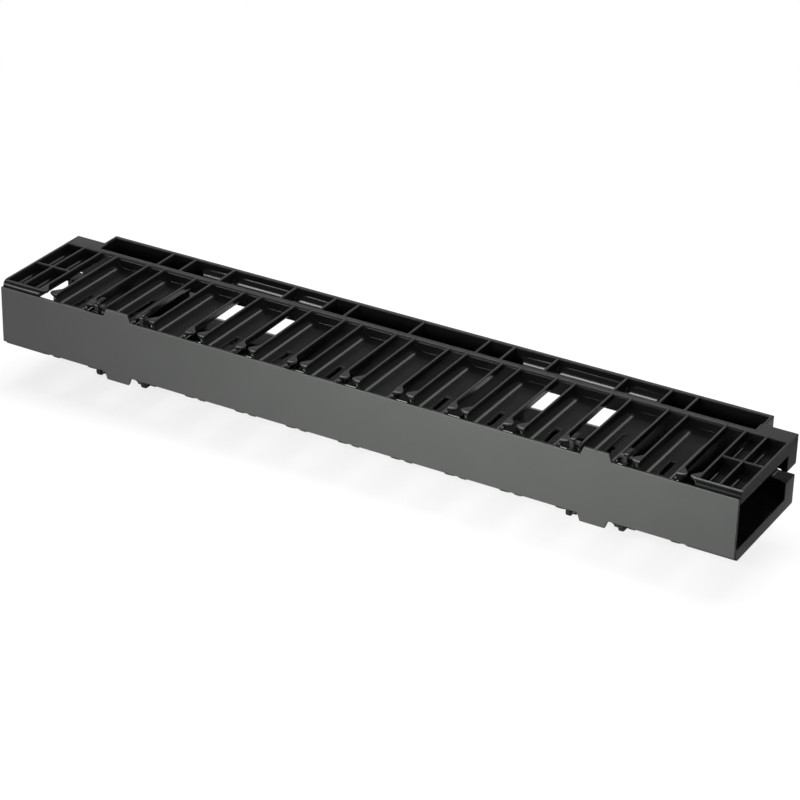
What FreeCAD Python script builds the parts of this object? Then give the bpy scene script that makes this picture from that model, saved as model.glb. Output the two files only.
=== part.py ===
"""Horizontal cable manager for a 19 inch rack, one rack unit high.

Two mouldings in black plastic make the product:
  cable_tray   the cable tunnel: a backplane with rack ears, a comb of fingers above and below,
               and a ribbed box behind the rack rails with two flared cable pass-throughs
  front_cover  the flat front cover, whose hooks snap on round pins and let it swing down

Frame: X along the rack's width, Z up, +Y to the back of the rack. The origin is the centre of
the plane in which the ears sit on the rack rails, half way up the unit. Millimetres.
"""
import FreeCAD, Part
import os

import Sketcher

doc = FreeCAD.newDocument("cable_manager")

# ---------------------------------------------------------------- sizes
SIZES = [
    # whole product
    ("overall_width", 482.6, "over the ears, the 19 inch standard"),
    ("body_height", 43.4, "comb and ears, one rack unit less a gap"),
    # backplane
    ("backplane_wall", 3.0, "wall behind the tunnel"),
    ("rim_depth", 4.5, "thicker rim along the top and bottom of the backplane"),
    ("rim_height", 3.0, "height of that rim"),
    ("rim_bevel", 1.3, "bevelled front edge of the rim, where cables cross it"),
    # ears
    ("ear_width", 19.9, "ear beside the box, which passes between the rack rails"),
    ("ear_depth", 12.6, "tunnel's back wall to the rack rail"),
    ("ear_web", 3.2, "solid front web of an ear"),
    ("ear_wall", 2.6, "walls round the ear's cored back"),
    ("screw_inset", 8.75, "ear's outer edge to the rack screw, 465.1 from screw to screw"),
    ("screw_slot_width", 6.8, "clears an M6 rack screw"),
    ("screw_land", 15.0, "solid land round the screw slot"),
    ("screw_sink_width", 13.0, "round sink for the screw's head"),
    ("screw_sink_depth", 1.5, "depth of that sink"),
    # box behind the rails
    ("box_behind", 12.4, "box behind the rack rails"),
    ("box_wall", 2.4, "back wall of the box"),
    ("box_rib", 1.6, "ribs between the cells"),
    ("box_web", 2.0, "level web half way up the box"),
    ("box_cells", 10, "cells along the box"),
    # cable pass-throughs
    ("pass_cells", 2.5, "middle of a pass-through from the centre, in cells of the box"),
    ("pass_width", 80.0, "straight part of the hole"),
    ("pass_height", 23.0, "straight part of the hole"),
    ("pass_flare", 9.2, "radius of the flared lip"),
    ("pass_wall", 2.0, "wall of the pass-through"),
    # comb
    ("finger_reach", 64.4, "backplane to the finger tips"),
    ("finger_count", 12, "channel fingers between the two end fingers"),
    ("end_width", 26.7, "end finger across, which leaves the fingers 34.9 apart"),
    ("slot_width", 10.4, "open slot between two fingers"),
    ("finger_wall", 1.4, "wall of a finger's channel"),
    ("channel_depth", 6.5, "from the rib tops to the channel's floor"),
    ("channel_round", 5.6, "inside corners of the channel"),
    ("finger_bevel", 4.1, "slanted underside corners of a finger"),
    ("tip_round", 3.8, "rounded outer corner of the finger tips"),
    ("root_overlap", 1.6, "fingers reach into the bevelled rim"),
    # cable-keeping lips at the finger tips
    ("lip_gap", 2.3, "cables are pressed through this gap"),
    ("lip_thickness", 2.0, "lip plate"),
    ("lip_root", 9.9, "lip along its rib"),
    ("lip_point", 4.4, "back of the lip's point from the finger tip"),
    ("lip_nose", 2.8, "front of the lip's point from the finger tip"),
    ("lip_front", 0.6, "lip's front root back from the finger tip"),
    # cable-tie slots in the channel floors
    ("tie_width", 3.2, "tie slot across the finger"),
    ("tie_length", 16.8, "tie slot along the finger"),
    ("tie_start", 5.6, "tie slot back from the finger tip"),
    ("tie_long", 31.0, "longer tie slot in the fingers behind the tabs"),
    # end fingers
    ("end_wall", 1.6, "outer wall of an end finger"),
    ("end_cross", 32.2, "cross rib from the backplane"),
    ("end_bar", 3.0, "rounded bar across the end finger's front"),
    ("end_round", 2.0, "inside corners of its pockets"),
    # cover
    ("cover_thickness", 2.0, "cover plate"),
    ("cover_height", 36.3, "cover plate without its tabs"),
    ("cover_gap", 0.3, "cover to the finger tips"),
    ("cover_edge", 0.5, "rounded edge of the cover's face"),
    ("tab_tip", 15.3, "finger tab across its end"),
    ("tab_base", 18.8, "finger tab at the plate"),
    ("tab_rise", 4.8, "finger tab beyond the plate's edge"),
    ("tab_pitches", 4.5, "tab's middle from the centre, in finger pitches"),
    # hinge: round pins across the slots beside the tabs, hooks on the cover
    ("pin_back", 3.2, "cover's inner face to the pins' axis"),
    ("pin_inset", 0.2, "pins' axis inside the comb's top or bottom"),
    ("pin_radius", 1.3, "hinge pin"),
    ("pin_end", 0.1, "hinge pin past its hook"),
    ("pin_clearance", 0.08, "hook round the pin"),
    ("hook_rim", 1.3, "hook's wall round the pin"),
    ("hook_jaw", 1.1, "straight jaws behind the pin's axis"),
    ("hook_lead", 5.0, "tapered mouth behind the jaws"),
    ("hook_taper", 0.9, "opening of the mouth"),
    ("hook_nip", 0.5, "outer jaw's thinner end"),
    ("hook_width", 2.8, "hook across"),
    ("hook_side", 2.4, "hook's side from its finger"),
    ("hook_foot", 5.6, "hook's foot along the cover plate"),
]

sheet = doc.addObject("Spreadsheet::Sheet", "sizes")
for row, (name, number, note) in enumerate(SIZES, start=1):
    sheet.set("A%d" % row, name)
    sheet.set("B%d" % row, str(number))
    sheet.set("C%d" % row, note)
    sheet.setAlias("B%d" % row, name)
doc.recompute()


def size(name):
    """A size on the sheet, as it is written in an expression."""
    return "sizes." + name


# lengths that follow from the sizes, kept as text for the expressions
HALF_HEIGHT = "(sizes.body_height / 2)"
HALF_WIDTH = "(sizes.overall_width / 2)"
TUNNEL_BACK = "(-sizes.ear_depth)"
TIPS = "(sizes.ear_depth + sizes.finger_reach)"
COVER_BACK = "(" + TIPS + " + sizes.cover_gap)"
PITCH = "((sizes.overall_width - 2 * sizes.end_width - sizes.slot_width) / sizes.finger_count)"
FINGER_HALF = "((" + PITCH + " - sizes.slot_width) / 2)"
FLOOR = "(" + HALF_HEIGHT + " - sizes.channel_depth)"
UNDERSIDE = "(" + FLOOR + " - sizes.finger_wall)"
END_INNER = "(" + HALF_WIDTH + " - sizes.end_width)"
HALF_BOX = "(" + HALF_WIDTH + " - sizes.ear_width)"
CELL = "((2 * " + HALF_BOX + " - sizes.box_rib) / sizes.box_cells)"
PASS_MIDDLE = "(sizes.pass_cells * " + CELL + ")"
TAB_MIDDLE = "(sizes.tab_pitches * " + PITCH + ")"
HOOK_OFFSET = "(" + FINGER_HALF + " + sizes.hook_side + sizes.hook_width / 2)"
PIN_Y = "(sizes.pin_back - " + COVER_BACK + ")"
PIN_Z = "(" + HALF_HEIGHT + " - sizes.pin_inset)"
LIP_REACH = "((sizes.slot_width - sizes.lip_gap) / 2)"


def number(expression):
    """The plain number that an expression on the sheet gives."""
    return float(sheet.evalExpression(expression))


# ---------------------------------------------------------------- sketches and features
def origin_part(body, role):
    """One of a body's own origin planes or axes."""
    return next(f for f in body.Origin.OriginFeatures if f.Role == role)


def new_sketch(body, name, role, offset=None):
    """A sketch on an origin plane, moved along the plane's normal by an expression."""
    sketch = body.newObject("Sketcher::SketchObject", name)
    sketch.AttachmentSupport = (origin_part(body, role), [""])
    sketch.MapMode = "FlatFace"
    if offset is not None:
        sketch.setExpression("AttachmentOffset.Base.z", offset)
    return sketch


def hold(sketch, constraint, expression):
    """Add a constraint whose value follows an expression."""
    index = sketch.addConstraint(constraint)
    sketch.setExpression("Constraints[%d]" % index, expression)


def outline(sketch, corners):
    """A closed outline. A corner is (x, y) in expressions, or (x, y, radius, side) where the
    stretch that leads to it is an arc: side 1 turns left, side -1 turns right."""
    points = [FreeCAD.Vector(number(c[0]), number(c[1]), 0) for c in corners]
    first = sketch.GeometryCount
    for i, corner in enumerate(corners):
        start, end = points[i - 1], points[i]
        if len(corner) == 2:
            sketch.addGeometry(Part.LineSegment(start, end), False)
            continue
        radius, side = number(corner[2]), corner[3]
        chord = end - start
        rise = max(radius * radius - chord.Length * chord.Length / 4, 0.0) ** 0.5
        across = FreeCAD.Vector(-chord.y, chord.x, 0).normalize()
        middle = start + chord * 0.5 + across * (side * (rise - radius))
        sketch.addGeometry(Part.Arc(start, middle, end), False)
    for i, corner in enumerate(corners):
        following = corners[(i + 1) % len(corners)]
        here, after = first + i, first + (i + 1) % len(corners)
        # an arc that turns right is stored the other way round
        end_point = 1 if len(corner) > 2 and corner[3] < 0 else 2
        start_point = 2 if len(following) > 2 and following[3] < 0 else 1
        sketch.addConstraint(
            Sketcher.Constraint("Coincident", here, end_point, after, start_point))
        x, y = points[i].x, points[i].y
        hold(sketch, Sketcher.Constraint("DistanceX", -1, 1, here, end_point, x), corner[0])
        hold(sketch, Sketcher.Constraint("DistanceY", -1, 1, here, end_point, y), corner[1])
        if len(corner) > 2 and points[i - 1].distanceToPoint(points[i]) < 1.999 * number(corner[2]):
            hold(sketch, Sketcher.Constraint("Radius", here, number(corner[2])), corner[2])
        elif len(corner) > 2:
            # a half circle's size follows from its ends, so its middle is held instead
            before = corners[i - 1]
            middle = points[i - 1] + (points[i] - points[i - 1]) * 0.5
            halves = ["(%s + %s) / 2" % (before[axis], corner[axis]) for axis in (0, 1)]
            along = 0 if abs(points[i].x - points[i - 1].x) < 1e-6 else 1
            kind, at = (("DistanceX", middle.x), ("DistanceY", middle.y))[along]
            hold(sketch, Sketcher.Constraint(kind, -1, 1, here, 3, at), halves[along])
    return sketch


def rectangle(sketch, left, bottom, right, top):
    """A closed rectangle between four expressions."""
    return outline(sketch, [(left, bottom), (right, bottom), (right, top), (left, top)])


def circle(sketch, x, y, radius):
    """A circle, placed and sized by expressions."""
    centre = FreeCAD.Vector(number(x), number(y), 0)
    index = sketch.addGeometry(
        Part.Circle(centre, FreeCAD.Vector(0, 0, 1), number(radius)), False)
    hold(sketch, Sketcher.Constraint("DistanceX", -1, 1, index, 3, centre.x), x)
    hold(sketch, Sketcher.Constraint("DistanceY", -1, 1, index, 3, centre.y), y)
    hold(sketch, Sketcher.Constraint("Radius", index, number(radius)), radius)
    return sketch


def extrude(body, kind, sketch, length, name, both=False, back=False):
    """A Pad or Pocket of a sketch: a pad goes along the sketch's normal and a pocket against it,
    or the other way with back, or evenly to both sides."""
    feature = body.newObject("PartDesign::" + kind, name)
    feature.Profile = sketch
    feature.setExpression("Length", length)
    feature.Midplane = both
    feature.Reversed = back
    sketch.Visibility = False
    return feature


def copies(body, name, originals, mirrors=(), row=None):
    """The originals repeated along X by row (length, count) and mirrored in origin planes."""
    feature = body.newObject("PartDesign::MultiTransform", name)
    feature.Originals = originals
    steps = []
    if row is not None:
        step = body.newObject("PartDesign::LinearPattern", name + "_row")
        step.Direction = (origin_part(body, "X_Axis"), [""])
        step.setExpression("Length", row[0])
        step.setExpression("Occurrences", row[1])
        steps.append(step)
    for role in mirrors:
        step = body.newObject("PartDesign::Mirrored", name + "_" + role[:2])
        step.MirrorPlane = (origin_part(body, role), [""])
        steps.append(step)
    feature.Transformations = steps
    body.Tip = feature
    return feature


# ---------------------------------------------------------------- tray: backplane, ears, box
tray = doc.addObject("PartDesign::Body", "back_body")


def add_backplane():
    """The wall behind the tunnel and its thicker rims, as one section along X. The rims' front
    edges are bevelled, because cables bend over them in the slots."""
    rim_back = TUNNEL_BACK + " + sizes.rim_depth"
    wall_back = TUNNEL_BACK + " + sizes.backplane_wall"
    bevelled = TUNNEL_BACK + " + sizes.rim_bevel"
    shoulder = "(" + HALF_HEIGHT + " - sizes.rim_bevel)"
    rim = "(" + HALF_HEIGHT + " - sizes.rim_height)"
    section = new_sketch(tray, "backplane_section", "YZ_Plane")
    outline(section, [
        (TUNNEL_BACK, "-" + shoulder),
        (bevelled, "-" + HALF_HEIGHT),
        (rim_back, "-" + HALF_HEIGHT),
        (rim_back, "-" + rim),
        (wall_back, "-" + rim),
        (wall_back, rim),
        (rim_back, rim),
        (rim_back, HALF_HEIGHT),
        (bevelled, HALF_HEIGHT),
        (TUNNEL_BACK, shoulder),
    ])
    extrude(tray, "Pad", section, size("overall_width"), "backplane", both=True)


def add_box():
    """The box behind the rack rails: open cells above and below a level web."""
    half = HALF_BOX
    plan = new_sketch(tray, "box_plan", "XY_Plane")
    rectangle(plan, "-" + half, TUNNEL_BACK + " + sizes.backplane_wall / 2", half,
              size("box_behind"))
    extrude(tray, "Pad", plan, size("body_height"), "box", both=True)
    cell = new_sketch(tray, "cell_plan", "XY_Plane", HALF_HEIGHT)
    left = "-" + half + " + sizes.box_rib"
    rectangle(cell, left, TUNNEL_BACK + " + sizes.rim_depth",
              left + " + " + CELL + " - sizes.box_rib", "sizes.box_behind - sizes.box_wall")
    depth = "(sizes.body_height - sizes.box_web) / 2"
    first = extrude(tray, "Pocket", cell, depth, "cell")
    copies(tray, "cells", [first], ["XY_Plane"],
           (CELL + " * (sizes.box_cells - 1)", size("box_cells")))
    # a rib on each side of each pass-through, just clear of its flare
    ribs = new_sketch(tray, "pass_rib_plan", "XY_Plane")
    for sign in (" - ", " + "):
        rib = PASS_MIDDLE + sign + "(sizes.pass_width / 2 + sizes.pass_flare + sizes.box_rib / 2)"
        rectangle(ribs, rib + " - sizes.box_rib / 2", TUNNEL_BACK + " + sizes.rim_depth / 2",
                  rib + " + sizes.box_rib / 2", "sizes.box_behind - sizes.box_wall / 2")
    pair = extrude(tray, "Pad", ribs, size("body_height"), "pass_ribs", both=True)
    copies(tray, "all_pass_ribs", [pair], ["YZ_Plane"])


def add_ears():
    """Ears that sit on the rack rails: cored out from the back but for a land round the screw
    slot, which is open to the outside and has a sink for the screw's head in front."""
    face = new_sketch(tray, "ear_face", "XZ_Plane")
    rectangle(face, HALF_BOX + " - sizes.box_wall", "-" + HALF_HEIGHT, HALF_WIDTH,
              HALF_HEIGHT)
    block = extrude(tray, "Pad", face, "sizes.ear_depth - sizes.rim_bevel", "ear")
    copies(tray, "ears", [block], ["YZ_Plane"])
    core = new_sketch(tray, "ear_core", "XZ_Plane")
    rectangle(core, HALF_BOX + " + sizes.ear_wall / 2", "sizes.screw_land / 2",
              HALF_WIDTH + " - sizes.ear_wall", HALF_HEIGHT + " - sizes.ear_wall")
    hollow = extrude(tray, "Pocket", core, "sizes.ear_depth - sizes.ear_web", "ear_hollow",
                     back=True)
    copies(tray, "ear_hollows", [hollow], ["YZ_Plane", "XY_Plane"])
    half = "sizes.screw_slot_width / 2"
    middle = HALF_WIDTH + " - sizes.screw_inset"
    slot = new_sketch(tray, "screw_slot_face", "XZ_Plane")
    outline(slot, [
        (middle, "-" + half, half, 1),
        (HALF_WIDTH + " + 1", "-" + half),
        (HALF_WIDTH + " + 1", half),
        (middle, half),
    ])
    opened = extrude(tray, "Pocket", slot, "sizes.ear_depth + 1", "screw_slot", back=True)
    sink = new_sketch(tray, "screw_sink_face", "XZ_Plane", size("ear_depth"))
    circle(sink, middle, "0", "sizes.screw_sink_width / 2")
    sunk = extrude(tray, "Pocket", sink, size("screw_sink_depth"), "screw_sink")
    copies(tray, "screw_seats", [opened, sunk], ["YZ_Plane"])


# ---------------------------------------------------------------- tray: comb
# one quarter, to the right and above the tunnel, which is mirrored to the other three
comb = doc.addObject("PartDesign::Body", "comb_body")


def add_fingers():
    """Channel fingers, open outwards, on a strip that lies inside the backplane."""
    strip = new_sketch(comb, "comb_root_plan", "XY_Plane", FLOOR)
    rectangle(strip, "sizes.slot_width / 2", TUNNEL_BACK + " + sizes.root_overlap / 2",
              HALF_WIDTH + " - sizes.finger_wall", TUNNEL_BACK + " + sizes.root_overlap * 1.5")
    extrude(comb, "Pad", strip, "sizes.channel_depth / 2", "comb_root")
    half, inner = FINGER_HALF, "(" + FINGER_HALF + " - sizes.finger_wall)"
    section = new_sketch(comb, "finger_section", "XZ_Plane",
                         "sizes.ear_depth - sizes.root_overlap")

    def across(distance, side):
        return PITCH + " / 2" + (" + " if side > 0 else " - ") + distance

    flat = "(" + half + " - sizes.finger_bevel)"
    inner_flat = "(" + inner + " - sizes.channel_round)"
    outline(section, [
        (across(half, -1), HALF_HEIGHT),
        (across(half, -1), UNDERSIDE + " + sizes.finger_bevel"),
        (across(flat, -1), UNDERSIDE),
        (across(flat, 1), UNDERSIDE),
        (across(half, 1), UNDERSIDE + " + sizes.finger_bevel"),
        (across(half, 1), HALF_HEIGHT),
        (across(inner, 1), HALF_HEIGHT),
        (across(inner, 1), FLOOR + " + sizes.channel_round"),
        (across(inner_flat, 1), FLOOR, size("channel_round"), -1),
        (across(inner_flat, -1), FLOOR),
        (across(inner, -1), FLOOR + " + sizes.channel_round", size("channel_round"), -1),
        (across(inner, -1), HALF_HEIGHT),
    ])
    first = extrude(comb, "Pad", section, "sizes.finger_reach + sizes.root_overlap", "finger")
    copies(comb, "fingers", [first], [],
           ("(sizes.finger_count / 2 - 1) * " + PITCH, "sizes.finger_count / 2"))


def add_end_fingers():
    """Wider end fingers with two pockets abreast, a cross rib, a closed front bar and the tray's
    outer wall."""
    section = new_sketch(comb, "end_section", "XZ_Plane",
                         "sizes.ear_depth - sizes.root_overlap")
    outline(section, [
        (END_INNER, HALF_HEIGHT),
        (END_INNER, UNDERSIDE + " + sizes.finger_bevel"),
        (END_INNER + " + sizes.finger_bevel", UNDERSIDE),
        (HALF_WIDTH, UNDERSIDE),
        (HALF_WIDTH, HALF_HEIGHT),
    ])
    extrude(comb, "Pad", section, "sizes.finger_reach + sizes.root_overlap", "end_finger")
    left = END_INNER + " + sizes.finger_wall"
    right = HALF_WIDTH + " - sizes.end_wall"
    # four pockets, sunk to the channel floor, round-bottomed along the ribs
    middle = "(" + left + " + " + right + ") / 2"
    wall = "sizes.finger_wall / 2"
    for label, low, high in (("inner", left, middle + " - " + wall),
                             ("outer", middle + " + " + wall, right)):
        pocket = new_sketch(comb, "end_pocket_" + label, "XZ_Plane",
                            TIPS + " - sizes.end_bar")
        outline(pocket, [
            (low, FLOOR + " + sizes.end_round"),
            (low + " + sizes.end_round", FLOOR, size("end_round"), 1),
            (high + " - sizes.end_round", FLOOR),
            (high, FLOOR + " + sizes.end_round", size("end_round"), 1),
            (high, HALF_HEIGHT + " + 1"),
            (low, HALF_HEIGHT + " + 1"),
        ])
        extrude(comb, "Pocket", pocket, "sizes.finger_reach - sizes.end_bar",
                "end_hollow_" + label)
    cross = new_sketch(comb, "end_cross_plan", "XY_Plane", FLOOR)
    rib = TUNNEL_BACK + " - sizes.end_cross"
    rectangle(cross, left + " - " + wall, rib + " - " + wall, right + " + sizes.end_wall / 2",
              rib + " + " + wall)
    extrude(comb, "Pad", cross, size("channel_depth"), "end_cross_rib")


def lip(sketch, slot, side):
    """One lip in a slot's mouth, counted from the middle slot: a flat pointed plate on the rib
    at the slot's right (side 1) or left (side -1), pointing into the slot."""
    root = "(" + str(slot) + " * " + PITCH + ")"
    sign = (" + ", " - ") if side > 0 else (" - ", " + ")
    edge = root + sign[0] + "sizes.slot_width / 2"
    point = edge + sign[1] + LIP_REACH
    inside = edge + sign[0] + "sizes.finger_wall / 2"
    front = "-" + TIPS
    corners = [
        (inside, front + " + sizes.lip_root"),
        (inside, front + " + sizes.lip_front"),
        (edge, front + " + sizes.lip_front"),
        (point, front + " + sizes.lip_nose"),
        (point, front + " + sizes.lip_point"),
        (edge, front + " + sizes.lip_root"),
    ]
    outline(sketch, corners)


def add_lips():
    """Lips that keep the cables in: a pair in each slot's mouth, but none on the fingers behind
    the tabs, whose sides carry the hinge pins."""
    plan = new_sketch(comb, "lip_plan", "XY_Plane", HALF_HEIGHT + " - sizes.lip_thickness")
    for slot in range(int(number("sizes.finger_count / 2")) + 1):
        for side in (-1, 1):
            finger = slot + side / 2
            if finger > 0 and finger != number(size("tab_pitches")):
                lip(plan, slot, side)
    extrude(comb, "Pad", plan, size("lip_thickness"), "lips")


def round_tips():
    """One round along the comb's outer front corner, over fingers, lips and end fingers."""
    front = "-" + TIPS
    corner = new_sketch(comb, "tip_corner", "YZ_Plane")
    outline(corner, [
        (front + " - 1", HALF_HEIGHT + " - sizes.tip_round"),
        (front, HALF_HEIGHT + " - sizes.tip_round"),
        (front + " + sizes.tip_round", HALF_HEIGHT, size("tip_round"), -1),
        (front + " + sizes.tip_round", HALF_HEIGHT + " + 1"),
        (front + " - 1", HALF_HEIGHT + " + 1"),
    ])
    extrude(comb, "Pocket", corner, "sizes.overall_width + 2", "tip_rounding", both=True)


def add_pins():
    """Hinge pins on both sides of the fingers behind the tabs."""
    length = "sizes.hook_side + sizes.hook_width + sizes.pin_end + sizes.finger_wall / 2"
    for place, sign in (("outer", " + "), ("inner", " - ")):
        root = TAB_MIDDLE + sign + "(" + FINGER_HALF + " - sizes.finger_wall / 2)"
        section = new_sketch(comb, "pin_section_" + place, "YZ_Plane", root)
        circle(section, PIN_Y, PIN_Z, size("pin_radius"))
        extrude(comb, "Pad", section, length, "pin_" + place, back=sign == " - ")


add_backplane()
add_box()
add_ears()
add_fingers()
add_end_fingers()
add_lips()
round_tips()
add_pins()
doc.recompute()


# ---------------------------------------------------------------- cable pass-throughs
def mirror(source, name, normal):
    """A part's mirror image in a plane through the origin."""
    image = doc.addObject("Part::Mirroring", name)
    image.Source = source
    image.Normal = normal
    return image


def flared_solid(name, growth, radius):
    """A rectangular duct whose four walls flare out in a quarter round at the back of the box,
    with mitred corners: where a level profile and an upright profile overlap. It is larger than
    the hole by growth, and its round has its own radius."""
    turn = "(sizes.box_behind - sizes.pass_flare)"
    front = TUNNEL_BACK + (" - 1" if growth == "0" else " + sizes.backplane_wall / 2")
    back = size("box_behind") + (" + 1" if growth == "0" else "")
    lip_at = "(" + turn + " + " + radius + ")"
    bodies = []
    for view, role, middle, half in (
            ("side", "YZ_Plane", "0", "(sizes.pass_height / 2 + " + growth + ")"),
            ("plan", "XY_Plane", PASS_MIDDLE, "(sizes.pass_width / 2 + " + growth + ")")):
        body = doc.addObject("PartDesign::Body", name + "_" + view)
        sketch = new_sketch(body, name + "_" + view + "_profile", role)
        low, high = middle + " - " + half, middle + " + " + half
        corners = [
            (front, low),
            (turn, low),
            (lip_at, low + " - " + radius, radius, -1),
            (back, low + " - " + radius),
            (back, high + " + " + radius),
            (lip_at, high + " + " + radius),
            (turn, high, radius, -1),
            (front, high),
        ]
        if view == "plan":
            # the plan has X first, so the outline is turned over
            corners = [(c[1], c[0]) + ((c[2], -c[3]) if len(c) > 2 else ()) for c in corners]
        outline(sketch, corners)
        length = "2 * (" + PASS_MIDDLE + " + sizes.pass_width)" if view == "side" \
            else "sizes.body_height"
        extrude(body, "Pad", sketch, length, name + "_" + view + "_pad", both=True)
        bodies.append(body)
    shared = doc.addObject("Part::MultiCommon", name)
    shared.Shapes = bodies
    return [shared, mirror(shared, name + "_left", (1, 0, 0))]


ducts = flared_solid("duct", "sizes.pass_wall", "(sizes.pass_flare - sizes.pass_wall)")
holes = flared_solid("passage", "0", size("pass_flare"))


def tie_slots():
    """Cable-tie slots through the channel floors. Two fingers of each row have none."""
    slots = []
    for finger in range(int(number(size("finger_count")))):
        if finger in (2, 6):
            continue
        middle = "(%d - (sizes.finger_count - 1) / 2) * %s" % (finger, PITCH)
        behind_tab = abs(finger - (number(size("finger_count")) - 1) / 2) == number(
            size("tab_pitches"))
        slot = doc.addObject("Part::Box", "tie_slot_%d" % (finger + 1))
        slot.setExpression("Length", size("tie_width"))
        slot.setExpression("Width", size("tie_long") if behind_tab else size("tie_length"))
        slot.setExpression("Height", size("body_height"))
        slot.setExpression("Placement.Base.x", middle + " - sizes.tie_width / 2")
        slot.setExpression("Placement.Base.y", "-" + TIPS + " + sizes.tie_start")
        slot.setExpression("Placement.Base.z", "-" + HALF_HEIGHT)
        slots.append(slot)
    return slots


upper_left = mirror(comb, "comb_upper_left", (1, 0, 0))
lower_right = mirror(comb, "comb_lower_right", (0, 0, 1))
lower_left = mirror(lower_right, "comb_lower_left", (1, 0, 0))
whole = doc.addObject("Part::MultiFuse", "tray_solid")
whole.Shapes = [tray, comb, upper_left, lower_right, lower_left] + ducts
whole.Refine = True
drilled = doc.addObject("Part::MultiFuse", "tray_openings")
drilled.Shapes = holes + tie_slots()
tray_part = doc.addObject("Part::Cut", "cable_tray")
tray_part.Base = whole
tray_part.Tool = drilled
tray_part.Label = "cable_tray"

# ---------------------------------------------------------------- front cover
cover = doc.addObject("PartDesign::Body", "front_cover")
cover.Label = "front_cover"


def add_plate():
    """The flat plate with two finger tabs on each long edge and a small round all along the
    edge of its face."""
    face = new_sketch(cover, "plate_face", "XZ_Plane", COVER_BACK)
    edge = "(sizes.cover_height / 2)"
    tip = "(sizes.cover_height / 2 + sizes.tab_rise)"
    left, right = "-" + HALF_WIDTH, HALF_WIDTH

    def tab(side, row, order):
        middle = ("-" if side < 0 else "") + TAB_MIDDLE
        level = "-" if row < 0 else ""
        steps = [(" - ", "tab_base", edge), (" - ", "tab_tip", tip),
                 (" + ", "tab_tip", tip), (" + ", "tab_base", edge)]
        return [(middle + sign + "sizes." + width + " / 2", level + height)
                for sign, width, height in steps[::order]]

    outline(face, [(left, "-" + edge)] + tab(-1, -1, 1) + tab(1, -1, 1) + [(right, "-" + edge)]
            + [(right, edge)] + tab(1, 1, -1) + tab(-1, 1, -1) + [(left, edge)])
    plate = extrude(cover, "Pad", face, size("cover_thickness"), "plate")
    doc.recompute()
    front = -number(COVER_BACK) - number(size("cover_thickness"))
    rim = ["Edge%d" % (i + 1) for i, edge in enumerate(plate.Shape.Edges)
           if all(abs(v.Y - front) < 1e-6 for v in edge.Vertexes)]
    rounded = cover.newObject("PartDesign::Fillet", "plate_edge")
    rounded.Base = (plate, rim)
    rounded.setExpression("Radius", size("cover_edge"))


def add_hooks():
    """Hooks behind the plate, four along each edge. Each wraps a hinge pin from the front, and
    its mouth opens to the back, so that it can snap on and off."""
    inner = "(sizes.pin_radius + sizes.pin_clearance)"
    outer = "(sizes.pin_radius + sizes.pin_clearance + sizes.hook_rim)"
    plate_inside = "-" + COVER_BACK + " - sizes.cover_thickness / 2"
    jaw = PIN_Y + " + sizes.hook_jaw"
    mouth = jaw + " + sizes.hook_lead"
    edge = "sizes.cover_height / 2"
    made = []
    for label, sign in (("far", " + "), ("near", " - ")):
        section = new_sketch(cover, "hook_section_" + label, "YZ_Plane",
                             TAB_MIDDLE + sign + HOOK_OFFSET)
        outline(section, [
            (plate_inside, edge),
            (plate_inside, edge + " - sizes.hook_foot"),
            (PIN_Y, edge + " - sizes.hook_foot"),
            (mouth, PIN_Z + " - " + outer + " - sizes.hook_taper"),
            (mouth, PIN_Z + " - " + inner + " - sizes.hook_taper"),
            (jaw, PIN_Z + " - " + inner),
            (PIN_Y, PIN_Z + " - " + inner),
            (PIN_Y, PIN_Z + " + " + inner, inner, -1),
            (jaw, PIN_Z + " + " + inner),
            (mouth, PIN_Z + " + " + inner + " + sizes.hook_taper"),
            (mouth, PIN_Z + " + " + inner + " + sizes.hook_taper + sizes.hook_nip"),
            (jaw, PIN_Z + " + " + outer),
            (PIN_Y, PIN_Z + " + " + outer),
            (PIN_Y + " - " + outer, PIN_Z, outer, 1),
            (PIN_Y + " - " + outer, edge),
        ])
        made.append(extrude(cover, "Pad", section, size("hook_width"), "hook_" + label,
                            both=True))
    copies(cover, "hooks", made, ["YZ_Plane", "XY_Plane"])


add_plate()
add_hooks()
doc.recompute()

# ---------------------------------------------------------------- checks and files
for item in doc.Objects:
    if "Invalid" in item.State or "Error" in item.State:
        raise RuntimeError("%s did not build: %s" % (item.Label, item.State))

os.makedirs("parts", exist_ok=True)
for item in (tray_part, cover):
    if item.Shape.isNull() or not item.Shape.isValid():
        raise RuntimeError("%s has no valid shape" % item.Label)
    print(item.Label, len(item.Shape.Solids), "solid", round(item.Shape.Volume), "mm3",
          item.Shape.BoundBox)
    item.Shape.exportStep("parts/%s.step" % item.Label)
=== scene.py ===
import math

import bmesh
import bpy
from mathutils import Matrix, Vector


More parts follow.
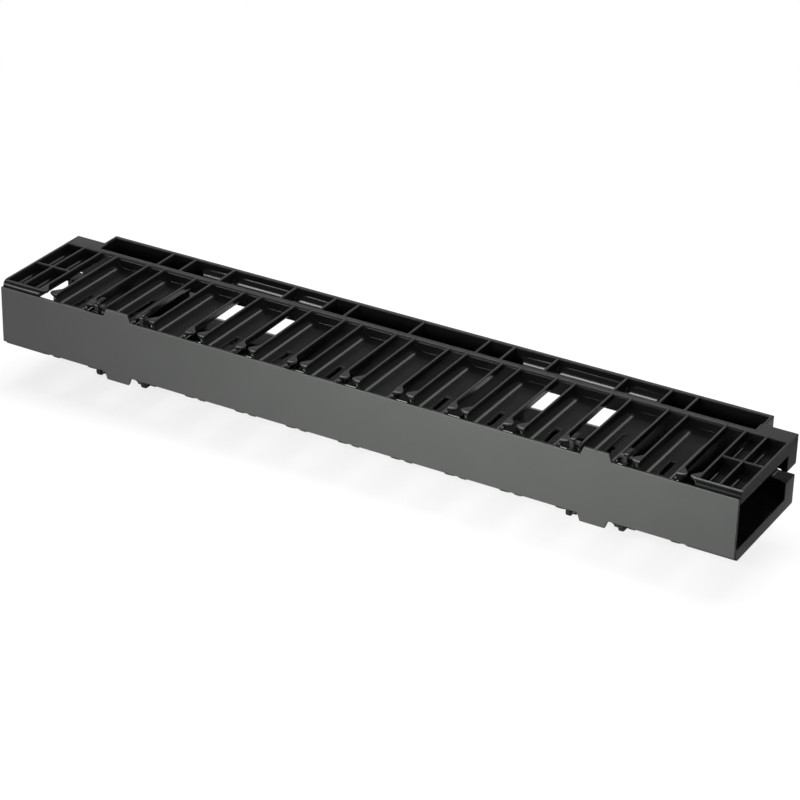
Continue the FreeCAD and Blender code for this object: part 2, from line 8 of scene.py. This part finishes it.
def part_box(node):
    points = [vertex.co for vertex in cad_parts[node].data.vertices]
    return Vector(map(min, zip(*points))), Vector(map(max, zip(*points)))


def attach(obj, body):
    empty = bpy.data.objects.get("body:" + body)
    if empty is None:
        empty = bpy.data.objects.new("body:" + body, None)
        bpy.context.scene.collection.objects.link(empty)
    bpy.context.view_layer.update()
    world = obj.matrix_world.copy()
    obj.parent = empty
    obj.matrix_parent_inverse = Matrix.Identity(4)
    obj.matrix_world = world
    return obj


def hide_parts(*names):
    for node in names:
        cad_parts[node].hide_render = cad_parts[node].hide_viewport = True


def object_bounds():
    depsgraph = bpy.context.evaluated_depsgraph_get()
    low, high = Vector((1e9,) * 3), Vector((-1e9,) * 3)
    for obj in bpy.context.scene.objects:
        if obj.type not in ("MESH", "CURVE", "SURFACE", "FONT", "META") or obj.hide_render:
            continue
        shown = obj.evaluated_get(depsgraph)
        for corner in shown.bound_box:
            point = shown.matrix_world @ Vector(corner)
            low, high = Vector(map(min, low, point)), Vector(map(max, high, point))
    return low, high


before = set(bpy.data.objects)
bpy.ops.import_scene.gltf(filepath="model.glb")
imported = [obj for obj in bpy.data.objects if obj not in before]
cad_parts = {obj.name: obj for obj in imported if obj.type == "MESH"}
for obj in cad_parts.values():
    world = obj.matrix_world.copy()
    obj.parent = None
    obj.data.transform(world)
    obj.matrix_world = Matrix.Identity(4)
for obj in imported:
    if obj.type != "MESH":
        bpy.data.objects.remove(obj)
first_low, first_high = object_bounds()

# ---------------------------------------------------------------- cable tray
# Backplane, rack ears, comb of fingers and rear box, injection moulded in one piece of black
# plastic. Glossy with a faint grain, duller on its outermost faces, its edges worn a little
# lighter. Screws through the two ears hold it to the rack.
tray_edge = 0.00035
tray_black = (0.0025, 0.0026, 0.0025, 1)
tray_grey = (0.016, 0.0165, 0.016, 1)
tray_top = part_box("cable_tray")[1].z
wear_width = 0.0006


def moulded(node, name, edge):
    """A copy of a CAD piece, merged, with every sharp edge broken by a small round."""
    merge_within = 8e-5
    flat_within = math.radians(0.5)
    broken_from = math.radians(35)
    crease_from = math.radians(40)
    bm = bmesh.new()
    bm.from_mesh(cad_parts[node].data)
    bmesh.ops.remove_doubles(bm, verts=bm.verts, dist=merge_within)
    bmesh.ops.dissolve_limit(bm, angle_limit=flat_within, verts=bm.verts, edges=bm.edges)
    sharp = [e for e in bm.edges if e.is_manifold and e.calc_face_angle(0) > broken_from]
    bmesh.ops.bevel(bm, geom=sharp, offset=edge, offset_type="OFFSET", segments=2, profile=0.5,
                    affect="EDGES", clamp_overlap=False, material=-1)
    for face in bm.faces:
        face.smooth = True
    mesh = bpy.data.meshes.new(name)
    bm.to_mesh(mesh)
    bm.free()
    mesh.set_sharp_from_angle(angle=crease_from)
    piece = bpy.data.objects.new(name, mesh)
    bpy.context.collection.objects.link(piece)
    weighted = piece.modifiers.new("flat_faces", "WEIGHTED_NORMAL")
    weighted.keep_sharp = True
    return piece


class Shade:
    """A socket in a node tree. Arithmetic on it adds Math nodes."""

    def __init__(self, tree, socket=None):
        self.tree = tree
        self.socket = socket

    def feed(self, node, inputs):
        """Set or link a node's sockets, by name or number."""
        for name, given in inputs.items():
            if isinstance(given, Shade):
                self.tree.links.new(given.socket, node.inputs[name])
            else:
                node.inputs[name].default_value = given

    def node(self, kind, inputs=None, output=0, **settings):
        """Add a node of this kind and return one of its outputs."""
        made = self.tree.nodes.new(kind)
        for name, setting in settings.items():
            setattr(made, name, setting)
        self.feed(made, inputs or {})
        return Shade(self.tree, made.outputs[output])

    def maths(self, operation, *values):
        return self.node("ShaderNodeMath", dict(enumerate(values)), operation=operation)

    def __add__(self, other):
        return self.maths("ADD", self, other)

    def __radd__(self, other):
        return self.maths("ADD", other, self)

    def __sub__(self, other):
        return self.maths("SUBTRACT", self, other)

    def __rsub__(self, other):
        return self.maths("SUBTRACT", other, self)

    def __mul__(self, other):
        return self.maths("MULTIPLY", self, other)

    def __rmul__(self, other):
        return self.maths("MULTIPLY", other, self)

    def size(self):
        return self.maths("ABSOLUTE", self)

    def axis(self, name):
        """One coordinate of this position."""
        return self.node("ShaderNodeSeparateXYZ", {"Vector": self}, output=name)

    def noise(self, scale, detail=3.0):
        """Noise over this position, near 0.5, with features about 1 / scale long."""
        return self.node("ShaderNodeTexNoise", {"Vector": self, "Scale": scale, "Detail": detail})

    def step(self, low, high):
        """0 up to low, 1 from high, smooth between."""
        inputs = {"Value": self, "From Min": low, "From Max": high}
        return self.node("ShaderNodeMapRange", inputs, interpolation_type="SMOOTHSTEP")

    def blend(self, dark, light):
        """A colour from dark to light as this value goes from 0 to 1."""
        return self.node("ShaderNodeMix", {"Factor": self, "A": dark, "B": light}, output=2,
                         data_type="RGBA")

    def relief(self):
        """This height as a moulded skin's faint relief, for a shader's Normal."""
        return self.node("ShaderNodeBump", {"Height": self, "Strength": 0.05, "Distance": 0.0002})


def new_material(name):
    """A node material with its Principled shader and the place on the object."""
    material = bpy.data.materials.new(name)
    material.use_nodes = True
    tree = material.node_tree
    place = Shade(tree).node("ShaderNodeTexCoord", output="Object")
    return material, tree.nodes["Principled BSDF"], place


tray = moulded("cable_tray", "tray", tray_edge)
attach(tray, "tray")
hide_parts("cable_tray")

tray_look, shader, place = new_material("tray_plastic")
mottle = place.noise(55.0)
grain = place.noise(1800.0, 2.0)
smears = place.noise(9.0, 4.0).step(0.35, 0.75)
outside = place.axis("Z").size().step(tray_top - 0.0025, tray_top - 0.0015)
rounded = place.node("ShaderNodeBevel", {"Radius": wear_width})
normal = place.node("ShaderNodeNewGeometry", output="Normal")
along = place.node("ShaderNodeVectorMath", {0: rounded, 1: normal}, output="Value",
                   operation="DOT_PRODUCT")
worn = (1.0 - along).step(0.02, 0.3)
paleness = mottle * 0.15 + outside * 0.5 + worn * 0.35
place.feed(shader, {"Base Color": paleness.blend(tray_black, tray_grey),
                    "Roughness": 0.13 + mottle * 0.06 + smears * 0.05 + outside * 0.14,
                    "Normal": grain.relief()})
tray.data.materials.append(tray_look)

# ---------------------------------------------------------------- front cover
# A flat plate with four finger tabs and eight hooks, moulded in black plastic. The hooks snap
# on the tray's pins. Its front is etched to an even satin grey, the back and hooks are glossy,
# and a faint weld line half way along shows where the melt met in the mould.
cover_edge = 0.0004
cover_black = (0.003, 0.0031, 0.003, 1)
cover_grey = (0.06, 0.0625, 0.06, 1)
cover_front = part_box("front_cover")[0].y

cover = moulded("front_cover", "cover", cover_edge)
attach(cover, "cover")
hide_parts("front_cover")

cover_look, shader, place = new_material("cover_plastic")
mottle = place.noise(40.0)
grain = place.noise(2600.0, 2.0)
etched = place.axis("Y").step(cover_front + 0.0011, cover_front + 0.0002)
wander = place.noise(30.0) * 0.004 - 0.002
weld = (place.axis("X") + wander).size().step(0.0012, 0.0)
paleness = etched * 0.85 + mottle * 0.15
place.feed(shader, {"Base Color": paleness.blend(cover_black, cover_grey),
                    "Roughness": 0.18 + etched * 0.2 + mottle * 0.08 + weld * 0.05,
                    "Normal": grain.relief()})
cover.data.materials.append(cover_look)

# ---------------------------------------------------------------- floor
# White paper on a table, a little below the closed cover. It fades to pure white away from the
# part.
# The part's own reflections see it grey, with painted light making it paler behind the part and a
# strip of painted shadow beside the right ear, so that the black plastic keeps its depth.
floor_drop = 0.0215
floor_half = 6.0
paper_white = (0.9, 0.9, 0.9, 1)
# Painted shadow: a dark strip of floor beside the right ear, seen only in reflections.
painted_shadow_black = (0.09, 0.09, 0.09, 1)
painted_shadow_left = 0.24
painted_shadow_right = 0.38
painted_shadow_fade = 0.04
glow_near = 0.72

bm = bmesh.new()
bmesh.ops.create_grid(bm, x_segments=1, y_segments=1, size=floor_half,
                      matrix=Matrix.Translation((0, 0, first_low.z - floor_drop)))
mesh = bpy.data.meshes.new("floor")
bm.to_mesh(mesh)
bm.free()
floor = bpy.data.objects.new("floor", mesh)
bpy.context.collection.objects.link(floor)

floor_look, shader, place = new_material("floor_white")
seen = place.node("ShaderNodeLightPath", output="Is Camera Ray")
across = place.axis("X")
# Painted shadow in the floor's colour, across X beside the right ear, for reflections only.
painted_shadow = (across.step(painted_shadow_left, painted_shadow_left + painted_shadow_fade)
        * across.step(painted_shadow_right, painted_shadow_right - painted_shadow_fade))
# Painted light: the floor is paler behind the part, for reflections only.
painted_light_behind = place.axis("Y").step(0.02, 0.08)
paleness = seen + (1.0 - seen) * (1.0 - painted_shadow) * (painted_light_behind * 0.25 + 0.25)
place.feed(shader, {"Base Color": paleness.blend(painted_shadow_black, paper_white), "Roughness": 0.9})
away = place.node("ShaderNodeVectorMath", {0: place}, output="Value", operation="LENGTH")
glow = place.node("ShaderNodeEmission", {"Color": (1, 1, 1, 1), "Strength": 1.0})
glowing = seen * (glow_near + away.step(0.25, 0.7) * (1.0 - glow_near))
paper = place.node("ShaderNodeMixShader",
                   {0: glowing, 1: Shade(place.tree, shader.outputs["BSDF"]), 2: glow})
place.feed(place.tree.nodes["Material Output"], {"Surface": paper})
floor.data.materials.append(floor_look)

# ---------------------------------------------------------------- lights and room
# Soft boxes in a dim room. The long one above edges the ribs, the one behind lays a streak in
# each finger channel, and the low one at the front left edges the cover's top. A small one
# stands at the right. The front and back ones only light the plastic and don't glare on it.


def soft_light(name, at, aim, width, height, radiance, glare=True):
    """A rectangular light aimed at a point, given by how bright it looks."""
    data = bpy.data.lights.new(name, "AREA")
    data.shape = "RECTANGLE"
    data.size = width
    data.size_y = height
    data.energy = radiance * math.pi * width * height
    light = bpy.data.objects.new(name, data)
    light.location = at
    light.rotation_euler = (Vector(aim) - Vector(at)).to_track_quat("-Z", "Y").to_euler()
    light.visible_camera = False
    light.visible_glossy = glare
    bpy.context.collection.objects.link(light)


soft_light("top_light", at=(-0.1, 0.22, 1.36), aim=(0, 0, 0), width=1.9, height=0.3,
           radiance=10.0)
soft_light("side_light", at=(1.3, 0.12, 0.5), aim=(0.1, 0, 0), width=0.5, height=0.3,
           radiance=4.0)
soft_light("strip_light", at=(0.1, 1.2, 1.1), aim=(0, 0, 0), width=0.45, height=0.45,
           radiance=1.8)
soft_light("low_light", at=(-0.8, -1.3, 0.36), aim=(0, 0, 0), width=0.6, height=0.25,
           radiance=7.0)
soft_light("front_light", at=(0.09, -0.42, 0.16), aim=(0.08, -0.08, 0), width=0.3,
           height=0.12, radiance=24.0, glare=False)
soft_light("back_light", at=(-0.05, 0.5, 0.3), aim=(-0.05, 0.15, 0), width=0.5, height=0.15,
           radiance=14.0, glare=False)

# The room is white to the camera. The part sees it dark, with a bright band low at the back
# left, which the tops of the ribs and rims mirror.
room = bpy.data.worlds.new("studio")
room.use_nodes = True
background = room.node_tree.nodes["Background"]
way = Shade(room.node_tree).node("ShaderNodeTexCoord", output="Generated")
seen = way.node("ShaderNodeLightPath", output="Is Camera Ray")
band = way.axis("Z").step(0.38, 0.32) * way.axis("X").step(0.3, -0.6)
dim = band * 1.1 + 0.1
way.feed(background, {"Color": (1, 1, 1, 1), "Strength": dim + seen * (1.0 - dim)})
bpy.context.scene.world = room
bpy.context.scene.view_settings.view_transform = "Standard"

# ---------------------------------------------------------------- camera
# A long lens, from the front, the right and above.
camera_turn = (62.3298, -1.2577, 30.0964)

data = bpy.data.cameras.new("camera")
data.lens = 127.67
data.sensor_width = 36.0
data.clip_end = 20.0
camera = bpy.data.objects.new("camera", data)
camera.location = (0.72267, -1.29725, 0.75265)
camera.rotation_euler = tuple(math.radians(degrees) for degrees in camera_turn)
bpy.context.collection.objects.link(camera)
bpy.context.scene.camera = camera
